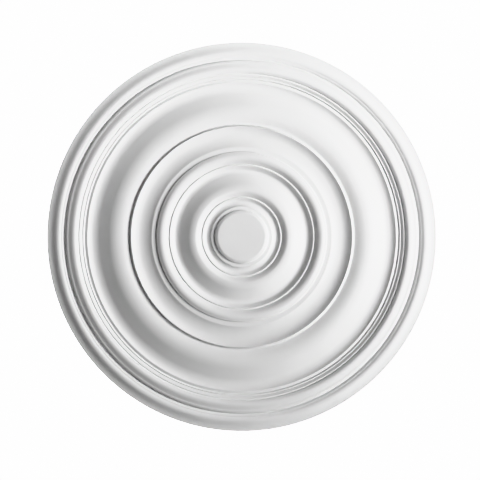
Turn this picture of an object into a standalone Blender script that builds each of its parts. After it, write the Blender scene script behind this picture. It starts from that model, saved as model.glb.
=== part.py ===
"""A round ceiling rose with plain turned mouldings, 600 mm across, cast in one piece.

The back lies on the ceiling at z = 0, and the moulded face looks down, along -Z.
The face is one outline turned about Z. It runs from the centre to the rim as a chain of
mouldings. Each has its own width, and its own level, the height of its outer end above the back.
A curved moulding can have a straight slope at its steep end, which has a width of its own too.
Sizes are in metres.
"""

import math

import bmesh
import bpy

# Centre disc, the flat that a light fitting's cover sits on, with a rounded, chamfered edge and a step
DISC_RADIUS = 0.0354
DISC_LEVEL = 0.0250
DISC_ROUND_WIDTH = 0.0018
DISC_CHAMFER_WIDTH = 0.0030
DISC_CHAMFER_LEVEL = 0.0231
DISC_STEP_WIDTH = 0.0008
DISC_STEP_LEVEL = 0.0208

# Foot of the disc, a cove that runs out into a narrow fillet
COVE_WIDTH = 0.0029
INNER_FILLET_WIDTH = 0.0018
INNER_FILLET_LEVEL = 0.0201

# Scotia round the disc, which ends in a fillet that leans outwards
SCOTIA_LIP_WIDTH = 0.0019
SCOTIA_LIP_LEVEL = 0.0188
SCOTIA_FALL_SLOPE_WIDTH = 0.0008
SCOTIA_FALL_WIDTH = 0.0050
SCOTIA_LEVEL = 0.0165
SCOTIA_RISE_WIDTH = 0.0023
SCOTIA_RISE_SLOPE_WIDTH = 0.0030
SCOTIA_RISE_LEVEL = 0.0198
OUTER_ROUND_WIDTH = 0.0014
OUTER_ROUND_LEVEL = 0.0203
OUTER_FILLET_WIDTH = 0.0014
OUTER_FILLET_LEVEL = 0.0189

# First ring, which swells up from a riser and falls outwards in a broad ogee
FIRST_RISER_WIDTH = 0.0039
FIRST_RISER_LEVEL = 0.0219
FIRST_SWELL_SLOPE_WIDTH = 0.0030
FIRST_SWELL_WIDTH = 0.0027
FIRST_CREST_LEVEL = 0.0243
FIRST_OGEE_SHOULDER_WIDTH = 0.0107
FIRST_OGEE_SLOPE_WIDTH = 0.0140
FIRST_OGEE_HOLLOW_WIDTH = 0.0056
FIRST_VALLEY_LEVEL = 0.0124

# Second ring, with a narrow fillet part of the way up and a rounded crest
SECOND_HOLLOW_WIDTH = 0.0031
SECOND_HOLLOW_SLOPE_WIDTH = 0.0030
SECOND_HOLLOW_LEVEL = 0.0165
SECOND_ROUND_SLOPE_WIDTH = 0.0014
SECOND_ROUND_WIDTH = 0.0015
SECOND_ROUND_LEVEL = 0.0183
SECOND_FILLET_WIDTH = 0.0012
SECOND_FILLET_LEVEL = 0.0167
SECOND_RISER_WIDTH = 0.0015
SECOND_RISER_LEVEL = 0.0181
SECOND_SWELL_SLOPE_WIDTH = 0.0031
SECOND_SWELL_WIDTH = 0.0064
SECOND_CREST_LEVEL = 0.0228
SECOND_FALL_WIDTH = 0.0046
SECOND_FALL_SLOPE_WIDTH = 0.0009
SECOND_FALL_LEVEL = 0.0209

# Outer side of the second ring: a sloping lip, a step, a shallow cove and a fillet
SECOND_LIP_WIDTH = 0.0018
SECOND_LIP_LEVEL = 0.0204
SECOND_STEP_WIDTH = 0.0009
SECOND_STEP_LEVEL = 0.0180
SECOND_COVE_WIDTH = 0.0053
SECOND_FOOT_WIDTH = 0.0020
SECOND_FOOT_LEVEL = 0.0177

# Wide trough, which sweeps down, then up to a sharp arris
TROUGH_FALL_WIDTH = 0.0169
TROUGH_LEVEL = 0.0131
TROUGH_RISE_WIDTH = 0.0118
TROUGH_RISE_SLOPE_WIDTH = 0.0024
ARRIS_WIDTH = 0.0004
ARRIS_LEVEL = 0.0185

# Third ring, below the arris: a low swell and the widest ogee
THIRD_STEP_WIDTH = 0.0029
THIRD_QUIRK_WIDTH = 0.0017
THIRD_QUIRK_LEVEL = 0.0139
THIRD_SWELL_SLOPE_WIDTH = 0.0028
THIRD_SWELL_WIDTH = 0.0126
THIRD_CREST_LEVEL = 0.0174
THIRD_OGEE_SHOULDER_WIDTH = 0.0140
THIRD_OGEE_SLOPE_WIDTH = 0.0162
THIRD_OGEE_HOLLOW_WIDTH = 0.0084
THIRD_VALLEY_LEVEL = 0.0056

# Stepped side of the border: a hollow, a bevelled edge, and three risers with fillets between them
BORDER_HOLLOW_WIDTH = 0.0081
BORDER_HOLLOW_SLOPE_WIDTH = 0.0012
BORDER_EDGE_LEVEL = 0.0091
BORDER_BEVEL_WIDTH = 0.0040
BORDER_BEVEL_LEVEL = 0.0076
LOWER_RISER_WIDTH = 0.0021
LOWER_RISER_LEVEL = 0.0098
LOWER_FILLET_WIDTH = 0.0012
LOWER_FILLET_LEVEL = 0.0089
MIDDLE_RISER_WIDTH = 0.0044
MIDDLE_RISER_LEVEL = 0.0118
UPPER_FILLET_WIDTH = 0.0019
UPPER_FILLET_LEVEL = 0.0110
UPPER_RISER_WIDTH = 0.0010
UPPER_RISER_LEVEL = 0.0129

# Top of the border, which rounds over twice, with a flatter band between
BORDER_SWELL_SLOPE_WIDTH = 0.0029
BORDER_SWELL_WIDTH = 0.0023
BORDER_CREST_LEVEL = 0.0153
BORDER_ROUND_WIDTH = 0.0043
BORDER_ROUND_SLOPE_WIDTH = 0.0025
BORDER_ROUND_LEVEL = 0.0132
BORDER_BAND_WIDTH = 0.0022
BORDER_BAND_LEVEL = 0.0123
BORDER_FALL_WIDTH = 0.0054
BORDER_FALL_SLOPE_WIDTH = 0.0012
BORDER_QUIRK_LEVEL = 0.0073

# Rim, a bead with a ledge on its inner side, that flares out to a thin edge against the ceiling
BEAD_RISER_WIDTH = 0.0030
BEAD_RISER_LEVEL = 0.0099
BEAD_LEDGE_WIDTH = 0.0018
BEAD_LEDGE_LEVEL = 0.0100
BEAD_SWELL_WIDTH = 0.0045
BEAD_CREST_LEVEL = 0.0117
BEAD_ROUND_WIDTH = 0.0033
BEAD_ROUND_SLOPE_WIDTH = 0.0020
BEAD_ROUND_LEVEL = 0.0101
FLARE_SLOPE_WIDTH = 0.0017
FLARE_WIDTH = 0.0108
RIM_THICKNESS = 0.0063

# Fineness of the faceted surface: sides of the turned shape, and how far a curve may be from its chord
SEGMENTS = 60
CHORD_ERROR = 0.0003
LEAST_SWEEP = math.radians(0.1)

PAINT_COLOUR = (0.74, 0.74, 0.74, 1.0)
PAINT_ROUGHNESS = 0.5
SHARP_EDGE = math.radians(25)


def clear_scene():
    for existing in list(bpy.data.objects):
        bpy.data.objects.remove(existing)


def arc(width, rise, level_first):
    """Points of a curve from (0, 0) to (width, rise), level at its first or its last point.

    It is part of a circle, or a quarter of an ellipse where it rises by more than its width.
    """
    sweep = min(2 * math.atan2(abs(rise), width), math.pi / 2)
    sweep = max(sweep, LEAST_SWEEP)
    radius = width / math.sin(sweep)
    chord_sweep = 2 * math.acos(max(1 - CHORD_ERROR / radius, 0.0))
    steps = math.ceil(sweep / chord_sweep)
    points = []
    for step in range(1, steps + 1):
        turned = sweep * step / steps
        along = width * math.sin(turned) / math.sin(sweep)
        up = rise * (1 - math.cos(turned)) / (1 - math.cos(sweep))
        points.append((along, up))
    if level_first:
        return points
    reverse = [(width - along, rise - up) for along, up in [(0.0, 0.0)] + points[:-1]]
    return reverse[::-1]


def steep_pitch(rise, curved, straight):
    """Pitch of a straight slope that, with curves which end in it, rises by this much."""
    low, high = 0.0, 1.0
    for _ in range(60):
        half = (low + high) / 2
        reached = curved * half + straight * 2 * half / (1 - half * half)
        if reached < rise:
            low = half
        else:
            high = half
    return 2 * math.atan(low)


class Outline:
    """The turned outline, as (radius, height above the back), drawn outwards from the centre."""

    def __init__(self, level):
        self.points = [(0.0, level)]

    def level(self):
        return self.points[-1][1]

    def extend(self, points):
        radius, height = self.points[-1]
        self.points += [(radius + along, height + up) for along, up in points]

    def straight(self, width, level):
        self.extend([(width, level - self.level())])

    def flat(self, width):
        self.straight(width, self.level())

    def curve(self, width, level, slope, level_first):
        rise = level - self.level()
        pitch = steep_pitch(abs(rise), width, slope)
        climb = math.copysign(slope * math.tan(pitch), rise)
        bend = arc(width, rise - climb, level_first)
        if slope == 0:
            self.extend(bend)
        elif level_first:
            self.extend(bend)
            self.extend([(slope, climb)])
        else:
            self.extend([(slope, climb)])
            self.extend(bend)

    def swell(self, width, level, slope=0.0):
        """A convex arc, level at its higher end, with a straight slope at its lower end."""
        self.curve(width, level, slope, level_first=level < self.level())

    def hollow(self, width, level, slope=0.0):
        """A concave arc, level at its lower end, with a straight slope at its higher end."""
        self.curve(width, level, slope, level_first=level > self.level())

    def ogee(self, shoulder, slope, hollow, level):
        """A convex shoulder, a straight slope and a hollow, level at both ends of the whole."""
        pitch = steep_pitch(abs(self.level() - level), shoulder + hollow, slope)
        if level > self.level():
            self.hollow(shoulder, self.level() + shoulder * math.tan(pitch / 2))
            self.straight(slope, self.level() + slope * math.tan(pitch))
            self.swell(hollow, level)
        else:
            self.swell(shoulder, self.level() - shoulder * math.tan(pitch / 2))
            self.straight(slope, self.level() - slope * math.tan(pitch))
            self.hollow(hollow, level)


def draw_disc(outline):
    outline.flat(DISC_RADIUS)
    outline.swell(DISC_ROUND_WIDTH, DISC_CHAMFER_LEVEL, slope=DISC_CHAMFER_WIDTH)
    outline.straight(DISC_STEP_WIDTH, DISC_STEP_LEVEL)
    outline.hollow(COVE_WIDTH, INNER_FILLET_LEVEL)
    outline.flat(INNER_FILLET_WIDTH)


def draw_scotia(outline):
    outline.swell(SCOTIA_LIP_WIDTH, SCOTIA_LIP_LEVEL)
    outline.hollow(SCOTIA_FALL_WIDTH, SCOTIA_LEVEL, slope=SCOTIA_FALL_SLOPE_WIDTH)
    outline.hollow(SCOTIA_RISE_WIDTH, SCOTIA_RISE_LEVEL, slope=SCOTIA_RISE_SLOPE_WIDTH)
    outline.swell(OUTER_ROUND_WIDTH, OUTER_ROUND_LEVEL)
    outline.straight(OUTER_FILLET_WIDTH, OUTER_FILLET_LEVEL)


def draw_first_ring(outline):
    outline.straight(FIRST_RISER_WIDTH, FIRST_RISER_LEVEL)
    outline.swell(FIRST_SWELL_WIDTH, FIRST_CREST_LEVEL, slope=FIRST_SWELL_SLOPE_WIDTH)
    outline.ogee(
        FIRST_OGEE_SHOULDER_WIDTH,
        FIRST_OGEE_SLOPE_WIDTH,
        FIRST_OGEE_HOLLOW_WIDTH,
        FIRST_VALLEY_LEVEL,
    )


def draw_second_ring(outline):
    outline.hollow(SECOND_HOLLOW_WIDTH, SECOND_HOLLOW_LEVEL, slope=SECOND_HOLLOW_SLOPE_WIDTH)
    outline.swell(SECOND_ROUND_WIDTH, SECOND_ROUND_LEVEL, slope=SECOND_ROUND_SLOPE_WIDTH)
    outline.straight(SECOND_FILLET_WIDTH, SECOND_FILLET_LEVEL)
    outline.straight(SECOND_RISER_WIDTH, SECOND_RISER_LEVEL)
    outline.swell(SECOND_SWELL_WIDTH, SECOND_CREST_LEVEL, slope=SECOND_SWELL_SLOPE_WIDTH)
    outline.swell(SECOND_FALL_WIDTH, SECOND_FALL_LEVEL, slope=SECOND_FALL_SLOPE_WIDTH)
    outline.straight(SECOND_LIP_WIDTH, SECOND_LIP_LEVEL)
    outline.straight(SECOND_STEP_WIDTH, SECOND_STEP_LEVEL)
    outline.hollow(SECOND_COVE_WIDTH, SECOND_FOOT_LEVEL)
    outline.flat(SECOND_FOOT_WIDTH)


def draw_trough(outline):
    outline.hollow(TROUGH_FALL_WIDTH, TROUGH_LEVEL)
    outline.hollow(TROUGH_RISE_WIDTH, ARRIS_LEVEL, slope=TROUGH_RISE_SLOPE_WIDTH)
    outline.flat(ARRIS_WIDTH)


def draw_third_ring(outline):
    outline.straight(THIRD_STEP_WIDTH, THIRD_QUIRK_LEVEL)
    outline.flat(THIRD_QUIRK_WIDTH)
    outline.swell(THIRD_SWELL_WIDTH, THIRD_CREST_LEVEL, slope=THIRD_SWELL_SLOPE_WIDTH)
    outline.ogee(
        THIRD_OGEE_SHOULDER_WIDTH,
        THIRD_OGEE_SLOPE_WIDTH,
        THIRD_OGEE_HOLLOW_WIDTH,
        THIRD_VALLEY_LEVEL,
    )


def draw_border_side(outline):
    outline.hollow(BORDER_HOLLOW_WIDTH, BORDER_EDGE_LEVEL, slope=BORDER_HOLLOW_SLOPE_WIDTH)
    outline.straight(BORDER_BEVEL_WIDTH, BORDER_BEVEL_LEVEL)
    outline.straight(LOWER_RISER_WIDTH, LOWER_RISER_LEVEL)
    outline.straight(LOWER_FILLET_WIDTH, LOWER_FILLET_LEVEL)
    outline.straight(MIDDLE_RISER_WIDTH, MIDDLE_RISER_LEVEL)
    outline.straight(UPPER_FILLET_WIDTH, UPPER_FILLET_LEVEL)
    outline.straight(UPPER_RISER_WIDTH, UPPER_RISER_LEVEL)


def draw_border_top(outline):
    outline.swell(BORDER_SWELL_WIDTH, BORDER_CREST_LEVEL, slope=BORDER_SWELL_SLOPE_WIDTH)
    outline.swell(BORDER_ROUND_WIDTH, BORDER_ROUND_LEVEL, slope=BORDER_ROUND_SLOPE_WIDTH)
    outline.straight(BORDER_BAND_WIDTH, BORDER_BAND_LEVEL)
    outline.swell(BORDER_FALL_WIDTH, BORDER_QUIRK_LEVEL, slope=BORDER_FALL_SLOPE_WIDTH)


def draw_rim(outline):
    outline.straight(BEAD_RISER_WIDTH, BEAD_RISER_LEVEL)
    outline.straight(BEAD_LEDGE_WIDTH, BEAD_LEDGE_LEVEL)
    outline.swell(BEAD_SWELL_WIDTH, BEAD_CREST_LEVEL)
    outline.swell(BEAD_ROUND_WIDTH, BEAD_ROUND_LEVEL, slope=BEAD_ROUND_SLOPE_WIDTH)
    outline.hollow(FLARE_WIDTH, RIM_THICKNESS, slope=FLARE_SLOPE_WIDTH)


def face_outline():
    outline = Outline(DISC_LEVEL)
    draw_disc(outline)
    draw_scotia(outline)
    draw_first_ring(outline)
    draw_second_ring(outline)
    draw_trough(outline)
    draw_third_ring(outline)
    draw_border_side(outline)
    draw_border_top(outline)
    draw_rim(outline)
    return outline.points


def painted_material():
    material = bpy.data.materials.new("white_primer")
    material.use_nodes = True
    shader = material.node_tree.nodes["Principled BSDF"]
    shader.inputs["Base Color"].default_value = PAINT_COLOUR
    shader.inputs["Roughness"].default_value = PAINT_ROUGHNESS
    shader.inputs["Metallic"].default_value = 0.0
    return material


def turn(name, face_points, material):
    """One closed body: the face's outline and the flat back, turned about Z."""
    bm = bmesh.new()
    rim_radius = face_points[-1][0]
    outline = [(radius, -height) for radius, height in face_points]
    outline += [(rim_radius, 0.0), (0.0, 0.0)]
    verts = [bm.verts.new((radius, 0.0, z)) for radius, z in outline]
    edges = [bm.edges.new(pair) for pair in zip(verts, verts[1:])]
    bmesh.ops.spin(
        bm,
        geom=verts + edges,
        cent=(0.0, 0.0, 0.0),
        axis=(0.0, 0.0, 1.0),
        angle=2 * math.pi,
        steps=SEGMENTS,
        use_merge=True,
    )
    bmesh.ops.remove_doubles(bm, verts=bm.verts, dist=1e-6)
    bmesh.ops.recalc_face_normals(bm, faces=bm.faces)
    mesh = bpy.data.meshes.new(name)
    bm.to_mesh(mesh)
    bm.free()
    mesh.shade_smooth()
    mesh.set_sharp_from_angle(angle=SHARP_EDGE)
    mesh.materials.append(material)
    body = bpy.data.objects.new(name, mesh)
    bpy.context.scene.collection.objects.link(body)
    return body


clear_scene()
turn("ceiling_rose", face_outline(), painted_material())
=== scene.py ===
import math

import bmesh
import bpy
from mathutils import Matrix, Vector


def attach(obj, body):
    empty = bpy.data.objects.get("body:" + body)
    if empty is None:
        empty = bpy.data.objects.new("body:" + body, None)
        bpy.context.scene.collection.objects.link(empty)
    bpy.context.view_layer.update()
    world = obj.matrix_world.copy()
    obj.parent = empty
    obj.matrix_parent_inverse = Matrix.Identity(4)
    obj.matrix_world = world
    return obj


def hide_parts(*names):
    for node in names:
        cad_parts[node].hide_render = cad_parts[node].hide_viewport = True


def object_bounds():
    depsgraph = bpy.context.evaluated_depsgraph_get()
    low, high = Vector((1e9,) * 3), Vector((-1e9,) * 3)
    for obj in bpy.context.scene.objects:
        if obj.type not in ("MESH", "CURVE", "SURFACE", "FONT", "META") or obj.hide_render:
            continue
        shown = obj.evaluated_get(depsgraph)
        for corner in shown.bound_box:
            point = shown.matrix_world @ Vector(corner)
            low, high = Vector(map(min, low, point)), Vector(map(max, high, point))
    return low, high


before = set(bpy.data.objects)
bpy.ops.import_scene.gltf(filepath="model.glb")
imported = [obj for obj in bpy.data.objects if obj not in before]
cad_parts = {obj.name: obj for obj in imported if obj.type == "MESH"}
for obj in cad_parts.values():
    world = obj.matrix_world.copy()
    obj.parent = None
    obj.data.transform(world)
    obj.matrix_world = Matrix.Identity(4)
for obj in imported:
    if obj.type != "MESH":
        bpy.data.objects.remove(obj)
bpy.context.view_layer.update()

# Everything is in metres, apart from the mouldings, which are in mm.
# The rose is fixed to the ceiling at z = 0 and its face looks down.
mmPerMetre = 1000

# Each moulding of the face in mm: form, width outwards, level of its outer end above the back,
# and for a swell or a hollow also the width of the straight slope at its steep end
rose = {
    "mouldings": [
        # centre disc with a rounded, chamfered edge, a step and a cove
        ("straight", 35.4, 25.0),
        ("swell", 1.8, 23.1, 3.0),
        ("straight", 0.8, 20.8),
        ("hollow", 2.9, 20.1, 0),
        ("straight", 1.8, 20.1),
        # scotia, which ends in a leaning fillet
        ("swell", 1.9, 18.8, 0),
        ("hollow", 5.0, 16.5, 0.8),
        ("hollow", 2.3, 19.8, 3.0),
        ("swell", 1.4, 20.3, 0),
        ("straight", 1.4, 18.9),
        # first ring
        ("straight", 3.9, 21.9),
        ("swell", 2.7, 24.3, 3.0),
        ("ogee", 10.7, 14.0, 5.6, 12.4),
        # second ring
        ("hollow", 3.1, 16.5, 3.0),
        ("swell", 1.5, 18.3, 1.4),
        ("straight", 1.2, 16.7),
        ("straight", 1.5, 18.1),
        ("swell", 6.4, 22.8, 3.1),
        ("swell", 4.6, 20.9, 0.9),
        ("straight", 1.8, 20.4),
        ("straight", 0.9, 18.0),
        ("hollow", 5.3, 17.7, 0),
        ("straight", 2.0, 17.7),
        # wide trough up to the arris
        ("hollow", 16.9, 13.1, 0),
        ("hollow", 11.8, 18.5, 2.4),
        ("straight", 0.4, 18.5),
        # third ring
        ("straight", 2.9, 13.9),
        ("straight", 1.7, 13.9),
        ("swell", 12.6, 17.4, 2.8),
        ("ogee", 14.0, 16.2, 8.4, 5.6),
        # stepped side of the border
        ("hollow", 8.1, 9.1, 1.2),
        ("straight", 4.0, 7.6),
        ("straight", 2.1, 9.8),
        ("straight", 1.2, 8.9),
        ("straight", 4.4, 11.8),
        ("straight", 1.9, 11.0),
        ("straight", 1.0, 12.9),
        # top of the border
        ("swell", 2.3, 15.3, 2.9),
        ("swell", 4.3, 13.2, 2.5),
        ("straight", 2.2, 12.3),
        ("swell", 5.4, 7.3, 1.2),
        # bead with a ledge, and the flared rim
        ("straight", 3.0, 9.9),
        ("straight", 1.8, 10.0),
        ("swell", 4.5, 11.7, 0),
        ("swell", 3.3, 10.1, 2.0),
        ("hollow", 10.8, 6.3, 1.7),
    ],
    "arcStep": math.radians(5),
    "leastChord": 0.0011,
    "cornerAngle": math.radians(9),
    "cornerReach": 0.0005,
    "cornerShare": 0.45,
    "cornerSteps": 2,
    "edgeLoop": 0.00015,
    "edgeLoopShare": 0.3,
    "halvings": 50,
    "sectorSteps": 32,
    "weldReach": 1e-6,
    "backFacing": 0.9,
    "smoothAngle": math.radians(40),
}


def extrudeTo(mesh, tip, width, rise):
    grown = bmesh.ops.extrude_vert_indiv(mesh, verts=[tip])["verts"][0]
    bmesh.ops.translate(mesh, verts=[grown], vec=(width, 0, -rise))
    return grown


# A straight run has a point close to each end, so that its shading stays even
def drawStraight(mesh, tip, width, level):
    rise = level + tip.co.z
    margin = (rose["cornerReach"] + rose["edgeLoop"]) / math.hypot(width, rise)
    closeLoops = (margin, 1 - 2 * margin, margin)
    stops = closeLoops if margin < rose["edgeLoopShare"] else (1.0,)
    for share in stops:
        tip = extrudeTo(mesh, tip, width * share, rise * share)
    return tip


# An arc is the last point spun about the arc's centre, which is above or below its level end
def drawArc(mesh, tip, width, rise, levelFirst):
    sweep = 2 * math.atan2(abs(rise), width)
    radius = math.copysign(width / math.sin(sweep), -rise)
    chords = min(math.ceil(sweep / rose["arcStep"]), int(abs(radius) * sweep / rose["leastChord"]))
    if levelFirst:
        centre = tip.co + Vector((0, 0, radius))
    else:
        centre = tip.co + Vector((width, 0, -rise - radius))
    spun = bmesh.ops.spin(
        mesh,
        geom=[tip],
        cent=centre,
        axis=(0, 1, 0),
        angle=math.copysign(sweep, rise if levelFirst else -rise),
        steps=max(2, chords),
    )
    return next(item for item in spun["geom_last"] if isinstance(item, bmesh.types.BMVert))


# The pitch of a straight slope between curves comes from halving the range until the rise is right
def steepPitch(rise, curved, slope):
    low, high = 0.0, 1.0
    for _ in range(rose["halvings"]):
        half = (low + high) / 2
        reached = curved * half + slope * 2 * half / (1 - half * half)
        low, high = (half, high) if reached < rise else (low, half)
    return 2 * math.atan(low)


def drawCurve(mesh, tip, width, level, slope, levelFirst):
    rise = level + tip.co.z
    if not slope:
        return drawArc(mesh, tip, width, rise, levelFirst)
    climb = math.copysign(slope * math.tan(steepPitch(abs(rise), width, slope)), rise)
    if levelFirst:
        tip = drawArc(mesh, tip, width, rise - climb, levelFirst)
        return drawStraight(mesh, tip, slope, level)
    tip = drawStraight(mesh, tip, slope, level - rise + climb)
    return drawArc(mesh, tip, width, rise - climb, levelFirst)


def drawSwell(mesh, tip, width, level, slope):
    return drawCurve(mesh, tip, width, level, slope, levelFirst=level < -tip.co.z)


def drawHollow(mesh, tip, width, level, slope):
    return drawCurve(mesh, tip, width, level, slope, levelFirst=level > -tip.co.z)


def drawOgee(mesh, tip, shoulder, slope, hollow, level):
    pitch = steepPitch(-tip.co.z - level, shoulder + hollow, slope)
    tip = drawSwell(mesh, tip, shoulder, -tip.co.z - shoulder * math.tan(pitch / 2), 0)
    tip = drawStraight(mesh, tip, slope, -tip.co.z - slope * math.tan(pitch))
    return drawHollow(mesh, tip, hollow, level, 0)


def roundCorners(mesh):
    corners = []
    for point in mesh.verts:
        if len(point.link_edges) != 2:
            continue
        first, second = [edge.other_vert(point).co - point.co for edge in point.link_edges]
        if math.pi - first.angle(second) > rose["cornerAngle"]:
            corners.append(point)
    for point in corners:
        room = min(edge.calc_length() for edge in point.link_edges)
        bmesh.ops.bevel(
            mesh,
            geom=[point],
            offset=min(rose["cornerReach"], room * rose["cornerShare"]),
            offset_type="OFFSET",
            affect="VERTICES",
            segments=rose["cornerSteps"],
            profile=0.5,
            material=-1,
        )
    return len(corners)


def makeRose():
    mesh = bmesh.new()
    draw = {"straight": drawStraight, "swell": drawSwell, "hollow": drawHollow, "ogee": drawOgee}
    tip = mesh.verts.new((0, 0, -rose["mouldings"][0][2] / mmPerMetre))
    for form, *sizes in rose["mouldings"]:
        tip = draw[form](mesh, tip, *[size / mmPerMetre for size in sizes])
    # up the thin edge and back along the ceiling to the centre
    tip = drawStraight(mesh, tip, 0, 0)
    tip = drawStraight(mesh, tip, -tip.co.x, 0)
    corners = roundCorners(mesh)
    points = len(mesh.verts)
    # an eighth of the turn, doubled three times
    bmesh.ops.spin(
        mesh,
        geom=mesh.verts[:] + mesh.edges[:],
        cent=(0, 0, 0),
        axis=(0, 0, 1),
        angle=math.pi / 4,
        steps=rose["sectorSteps"],
        use_merge=False,
    )
    for turn in (math.pi / 4, math.pi / 2, math.pi):
        copied = bmesh.ops.duplicate(mesh, geom=mesh.verts[:] + mesh.edges[:] + mesh.faces[:])
        turned = [item for item in copied["geom"] if isinstance(item, bmesh.types.BMVert)]
        bmesh.ops.rotate(mesh, verts=turned, cent=(0, 0, 0), matrix=Matrix.Rotation(turn, 3, "Z"))
    bmesh.ops.remove_doubles(mesh, verts=mesh.verts, dist=rose["weldReach"])
    bmesh.ops.recalc_face_normals(mesh, faces=mesh.faces)
    for face in mesh.faces:
        face.smooth = True
        face.material_index = 1 if face.normal.z > rose["backFacing"] else 0
    casting = bpy.data.meshes.new("roseCasting")
    mesh.to_mesh(casting)
    mesh.free()
    casting.set_sharp_from_angle(angle=rose["smoothAngle"])
    piece = bpy.data.objects.new("roseCasting", casting)
    bpy.context.scene.collection.objects.link(piece)
    casting.calc_loop_triangles()
    print("rose:", points, "points,", corners, "corners,", len(casting.loop_triangles), "triangles")
    return piece


# Most of a noise lies between these two values, which are spread over the whole range of a finish
noiseSpan = (0.3, 0.7)
cloudDetail = 5
grainDetail = 2

# Colours are the two ends of a faint mottling
primer = {
    "lighter": (0.752, 0.752, 0.752),
    "darker": (0.728, 0.728, 0.728),
    "cloudSize": 0.05,
    "glossiest": 0.50,
    "dullest": 0.60,
    "grainSize": 0.0012,
    "grainDepth": 0.00001,
}
bareCast = {
    "lighter": (0.74, 0.73, 0.70),
    "darker": (0.66, 0.65, 0.61),
    "cloudSize": 0.03,
    "glossiest": 0.65,
    "dullest": 0.85,
    "grainSize": 0.0016,
    "grainDepth": 0.00006,
}


def addNoise(nodes, links, place, size, detail):
    noise = nodes.new("ShaderNodeTexNoise")
    noise.inputs["Scale"].default_value = 1 / size
    noise.inputs["Detail"].default_value = detail
    links.new(place, noise.inputs["Vector"])
    return noise.outputs["Fac"]


def addRange(nodes, links, value, low, high):
    spread = nodes.new("ShaderNodeMapRange")
    spread.inputs["From Min"].default_value = noiseSpan[0]
    spread.inputs["From Max"].default_value = noiseSpan[1]
    spread.inputs["To Min"].default_value = low
    spread.inputs["To Max"].default_value = high
    links.new(value, spread.inputs["Value"])
    return spread.outputs["Result"]


def newMaterial(name, values):
    material = bpy.data.materials.new(name)
    material.use_nodes = True
    nodes, links = material.node_tree.nodes, material.node_tree.links
    shader = nodes["Principled BSDF"]
    place = nodes.new("ShaderNodeTexCoord").outputs["Object"]
    clouds = addNoise(nodes, links, place, values["cloudSize"], cloudDetail)
    grain = addNoise(nodes, links, place, values["grainSize"], grainDetail)
    mix = nodes.new("ShaderNodeMix")
    mix.data_type = "RGBA"
    mix.inputs["A"].default_value = (*values["darker"], 1)
    mix.inputs["B"].default_value = (*values["lighter"], 1)
    links.new(addRange(nodes, links, clouds, 0, 1), mix.inputs["Factor"])
    links.new(mix.outputs["Result"], shader.inputs["Base Color"])
    dullness = addRange(nodes, links, grain, values["glossiest"], values["dullest"])
    links.new(dullness, shader.inputs["Roughness"])
    bump = nodes.new("ShaderNodeBump")
    bump.inputs["Distance"].default_value = values["grainDepth"]
    links.new(grain, bump.inputs["Height"])
    links.new(bump.outputs["Normal"], shader.inputs["Normal"])
    return material


roseCasting = makeRose()
roseCasting.data.materials.append(newMaterial("whitePrimer", primer))
roseCasting.data.materials.append(newMaterial("bareCast", bareCast))
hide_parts("ceiling_rose")
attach(roseCasting, "root")
print("rose: primed face and bare back")

# The photograph looks straight up at the face; its up is -Y here and its right is +X
photo = {
    "frameSize": 480,
    "rimRadius": 194.7,
    "centreAcross": 241.6,
    "centreDown": 236.8,
    "distance": 2.3,
    "sensorWidth": 36,
    "farthestSeen": 50,
}


def addCamera():
    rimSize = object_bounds()[1][0]
    rimLevel = rose["mouldings"][-1][2] / mmPerMetre
    lens = bpy.data.cameras.new("photoCamera")
    lens.sensor_width = photo["sensorWidth"]
    shownSize = rimSize / (photo["distance"] - rimLevel)
    lens.lens = lens.sensor_width * photo["rimRadius"] / (photo["frameSize"] * shownSize)
    lens.clip_end = photo["farthestSeen"]
    pixel = rimSize / photo["rimRadius"]
    camera = bpy.data.objects.new("photoCamera", lens)
    middle = photo["frameSize"] / 2
    across = (middle - photo["centreAcross"]) * pixel
    down = (middle - photo["centreDown"]) * pixel
    camera.location = (across, down, -photo["distance"])
    camera.rotation_euler = (math.pi, 0, 0)
    bpy.context.scene.collection.objects.link(camera)
    bpy.context.scene.camera = camera


# Two lights stand on the right of the picture. Each is aimed past the rose and fades across it:
# the steeper one is stronger at the top of the picture, and the flatter one at the bottom.
# A weak one from the upper left lightens the slopes that face away from them.
studio = {
    "keyDistance": 4.0,
    "keyDirection": math.radians(-2),
    "keySize": 0.8,
    "keySpread": math.radians(60),
    "upperKey": (math.radians(43), (0, -1.9, 0), 80.9),
    "lowerKey": (math.radians(28), (0, 1.9, 0), 64.0),
    "sidePlace": (-2.45, -2.45, -2.0),
    "sidePower": 14.0,
    "surroundLight": 0.03,
    "surroundSeen": 8.0,
    "ceilingInner": 0.302,
    "ceilingOuter": 1.2,
    "ceilingSides": 96,
    "topHeight": 3.0,
    "topSize": 3.0,
    "topPower": 120.0,
    "floorDrop": 3.4,
    "floorSize": 40.0,
    "floorGlow": 0.7,
    "sheetColour": (0.8, 0.8, 0.8),
    "sheetRoughness": 0.9,
}


def addLight(name, place, aim, size, power):
    light = bpy.data.lights.new(name, "AREA")
    light.shape = "DISK"
    light.size = size
    light.energy = power
    lamp = bpy.data.objects.new(name, light)
    lamp.location = place
    lamp.rotation_euler = (Vector(aim) - Vector(place)).to_track_quat("-Z", "Y").to_euler()
    lamp.visible_camera = False
    bpy.context.scene.collection.objects.link(lamp)
    return light


def addKeyLight(name, height, aim, power):
    out = studio["keyDistance"] * math.cos(height)
    place = (
        out * math.cos(studio["keyDirection"]),
        -out * math.sin(studio["keyDirection"]),
        -studio["keyDistance"] * math.sin(height),
    )
    addLight(name, place, aim, studio["keySize"], power).spread = studio["keySpread"]


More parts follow.
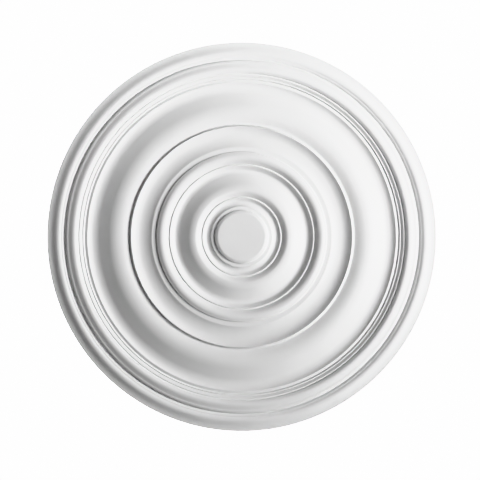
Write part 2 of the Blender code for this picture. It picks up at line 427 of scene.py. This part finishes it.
# The camera sees plain white all round, and the rose gets a little even light
def addSurround():
    world = bpy.data.worlds.new("whiteStudio")
    bpy.context.scene.world = world
    world.use_nodes = True
    nodes, links = world.node_tree.nodes, world.node_tree.links
    background = nodes["Background"]
    background.inputs["Color"].default_value = (1, 1, 1, 1)
    seen = nodes.new("ShaderNodeLightPath")
    strength = nodes.new("ShaderNodeMapRange")
    links.new(seen.outputs["Is Camera Ray"], strength.inputs["Value"])
    strength.inputs["To Min"].default_value = studio["surroundLight"]
    strength.inputs["To Max"].default_value = studio["surroundSeen"]
    links.new(strength.outputs["Result"], background.inputs["Strength"])


def addSheet(name, mesh, glow):
    sheet = bpy.data.meshes.new(name)
    mesh.to_mesh(sheet)
    mesh.free()
    matt = bpy.data.materials.new(name)
    matt.use_nodes = True
    shader = matt.node_tree.nodes["Principled BSDF"]
    shader.inputs["Base Color"].default_value = (*studio["sheetColour"], 1)
    shader.inputs["Roughness"].default_value = studio["sheetRoughness"]
    shader.inputs["Emission Color"].default_value = (1, 1, 1, 1)
    shader.inputs["Emission Strength"].default_value = glow
    sheet.materials.append(matt)
    piece = bpy.data.objects.new(name, sheet)
    bpy.context.scene.collection.objects.link(piece)
    return piece


# White ceiling round the rose: it isn't seen, but it throws light on the outer slopes
def addCeiling():
    mesh = bmesh.new()
    bmesh.ops.create_circle(mesh, segments=studio["ceilingSides"], radius=studio["ceilingInner"])
    grown = bmesh.ops.extrude_edge_only(mesh, edges=mesh.edges[:])
    outer = [item for item in grown["geom"] if isinstance(item, bmesh.types.BMVert)]
    share = studio["ceilingOuter"] / studio["ceilingInner"]
    bmesh.ops.scale(mesh, verts=outer, vec=(share, share, 1))
    ceiling = addSheet("studioCeiling", mesh, 0)
    ceiling.visible_camera = False
    ceiling.visible_shadow = False


# The floor is far from the light above, so a glow of its own keeps it pale
def addFloor():
    mesh = bmesh.new()
    bmesh.ops.create_grid(mesh, x_segments=1, y_segments=1, size=studio["floorSize"] / 2)
    bmesh.ops.translate(mesh, verts=mesh.verts, vec=(0, 0, -studio["floorDrop"]))
    floor = addSheet("studioFloor", mesh, studio["floorGlow"])
    floor.visible_diffuse = False
    floor.visible_glossy = False


addCamera()
addKeyLight("upperKey", *studio["upperKey"])
addKeyLight("lowerKey", *studio["lowerKey"])
addLight("sideLight", studio["sidePlace"], (0, 0, 0), studio["keySize"], studio["sidePower"])
# light from above for the back and the floor, which never reaches the face
top = (0, 0, studio["topHeight"])
addLight("topLight", top, (0, 0, 0), studio["topSize"], studio["topPower"])
addSurround()
addCeiling()
addFloor()
bpy.context.scene.view_settings.view_transform = "Khronos PBR Neutral"
print("studio: camera, lights, surround, ceiling and floor")
